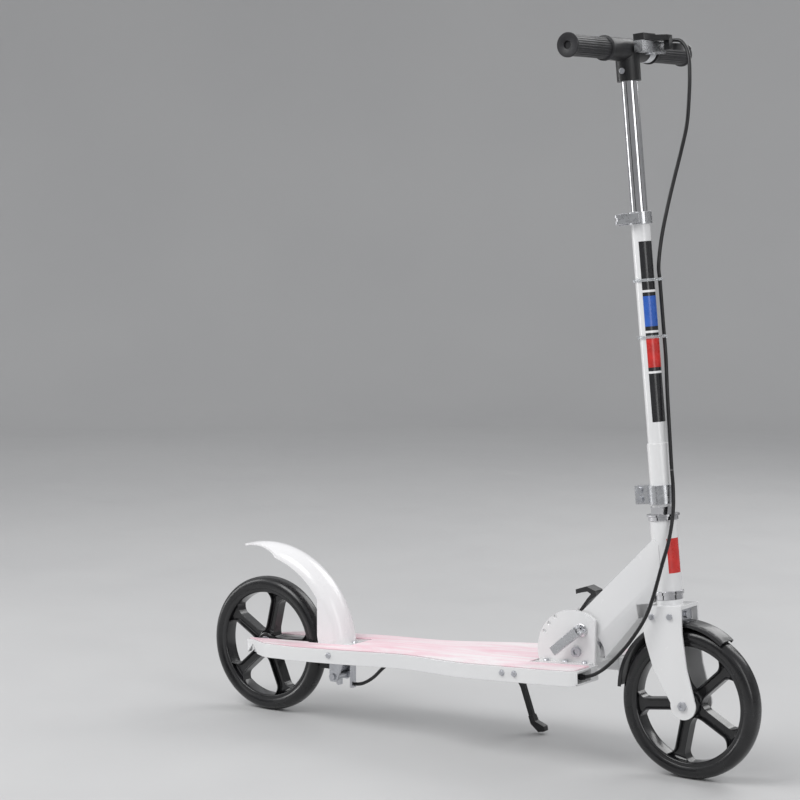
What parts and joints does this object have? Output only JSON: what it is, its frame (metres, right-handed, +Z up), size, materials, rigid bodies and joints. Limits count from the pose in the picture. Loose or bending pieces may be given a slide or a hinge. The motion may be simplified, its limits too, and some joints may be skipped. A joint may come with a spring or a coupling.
{
  "type": "kick scooter",
  "caption": "Folding two-wheel kick scooter with a wide waisted deck, height-adjustable T handlebar, hand brake, rear fender and kickstand.",
  "frame": {"origin": "on the ground, midway between the two wheel contacts and on the plane of symmetry", "axes": "+X forward, +Y to the rider's left, +Z up"},
  "size_m": [0.911, 0.298, 0.9801],
  "materials": {
    "white_paint": "gloss",
    "grip_tape": "matt marbled",
    "white_plastic": "gloss",
    "steel": "zinc plated",
    "chrome": "polished",
    "alloy": "satin",
    "tyre": "satin",
    "black_plastic": "satin",
    "black_steel": "satin",
    "grip_rubber": "matt",
    "cable_jacket": "satin",
    "red_label": "satin",
    "decal": "satin",
    "clear_tie": "translucent"
  },
  "bodies": {
    "deck": {"deck_plate": "white_paint", "grip_mat": "grip_tape", "rear_yoke": "white_paint", "front_ports": "white_paint", "bracket_plates": "white_paint", "fold_pivot_bolt": "steel", "rear_fender": "white_plastic", "deck_screws": "steel", "rear_axle_bolt": "steel", "rear_axle_spacers": "steel", "brake_bracket": "steel", "kickstand_bracket": "black_steel", "kickstand_bolts": "steel", "fold_skewer": "chrome", "cable_adjuster": "black_steel", "cable_under": "cable_jacket"},
    "rear_wheel": {"rear_tyre": "tyre", "rear_rim": "black_plastic", "rear_bearings": "steel"},
    "rear_brake": {"brake_arm": "steel", "brake_pad": "grip_rubber"},
    "kickstand": {"kickstand_leg": "black_steel"},
    "neck": {"neck_beam": "white_paint", "head_tube": "white_paint", "headset_cups": "chrome", "head_sticker": "red_label", "latch_pin": "steel", "cable_lower": "cable_jacket"},
    "neck_clamp_lever": {"fold_lever": "alloy"},
    "latch": {"latch_handle": "black_steel"},
    "steering": {"fork_legs": "white_paint", "fork_crown": "white_paint", "crown_bolts": "steel", "front_mudguard": "black_plastic", "mudguard_bracket": "steel", "front_axle_bolt": "steel", "front_axle_spacers": "steel", "steerer_sleeve": "white_paint", "headset_nuts": "chrome", "lower_clamp": "alloy", "clamp_bolts": "steel", "stem_tube": "white_paint", "stem_decal": "decal", "upper_clamp": "alloy", "height_skewer": "chrome", "cable_ties": "clear_tie", "cable_stem": "cable_jacket"},
    "front_wheel": {"front_tyre": "tyre", "front_rim": "black_plastic", "front_bearings": "steel"},
    "stem_clamp_lever": {"height_lever": "alloy"},
    "handlebar": {"inner_tube": "chrome", "t_head": "black_plastic", "handlebar_tube": "steel", "grips": "grip_rubber", "brake_perch": "alloy", "head_bolt": "steel", "lever_pin": "steel", "cable_upper": "cable_jacket"},
    "hand_lever": {"brake_lever": "black_plastic"}
  },
  "joints": [
    {"name": "rear_wheel_spin", "type": "hinge", "parent": "deck", "child": "rear_wheel", "pos_m": [-0.3555, 0, 0.1], "axis": [0, 1, 0], "continuous": true},
    {"name": "kickstand_fold", "type": "hinge", "parent": "deck", "child": "kickstand", "pos_m": [0.0225, 0.091, 0.098], "axis": [0, 0.9986, 0.0523], "range_deg": [0, 104]},
    {"name": "rear_brake_swing", "type": "hinge", "parent": "deck", "child": "rear_brake", "pos_m": [-0.2275, 0, 0.066], "axis": [0, -1, 0], "range_deg": [0, 3.4]},
    {"name": "stem_fold", "type": "hinge", "parent": "deck", "child": "neck", "pos_m": [0.1985, 0, 0.156], "axis": [0, -1, 0], "range_deg": [0, 83], "deforming": ["cable_lower"]},
    {"name": "neck_clamp", "type": "hinge", "parent": "deck", "child": "neck_clamp_lever", "pos_m": [0.206, -0.044, 0.18608], "axis": [-0.6561, 0, 0.7547], "range_deg": [0, 100]},
    {"name": "latch_pull", "type": "hinge", "parent": "neck", "child": "latch", "pos_m": [0.18292, 0, 0.19865], "axis": [0, -1, 0], "range_deg": [0, 14], "stiffness_Nm_per_rad": 0.6, "springref_deg": -8.59},
    {"name": "steer", "type": "hinge", "parent": "neck", "child": "steering", "pos_m": [0.335, 0, 0.09794], "axis": [-0.1002, 0, 0.995], "range_deg": [-80, 80], "deforming": ["cable_lower", "cable_stem"]},
    {"name": "front_wheel_spin", "type": "hinge", "parent": "steering", "child": "front_wheel", "pos_m": [0.3555, 0, 0.1], "axis": [0, 1, 0], "continuous": true},
    {"name": "stem_clamp", "type": "hinge", "parent": "steering", "child": "stem_clamp_lever", "pos_m": [0.24869, -0.015, 0.7355], "axis": [0.1002, 0, -0.995], "range_deg": [0, 100]},
    {"name": "bar_height", "type": "slide", "parent": "steering", "child": "handlebar", "axis": [-0.1002, 0, 0.995], "range_m": [-0.14, 0.05], "deforming": ["cable_upper", "cable_stem"]},
    {"name": "brake_squeeze", "type": "hinge", "parent": "handlebar", "child": "hand_lever", "pos_m": [0.27232, 0.015, 0.95999], "axis": [-0.1002, 0, 0.995], "range_deg": [0, 8], "stiffness_Nm_per_rad": 1.5, "springref_deg": -5.73}
  ],
  "couplings": [
    {"joint": "rear_brake_swing", "follows": "brake_squeeze", "ratio": 0.4}
  ]
}
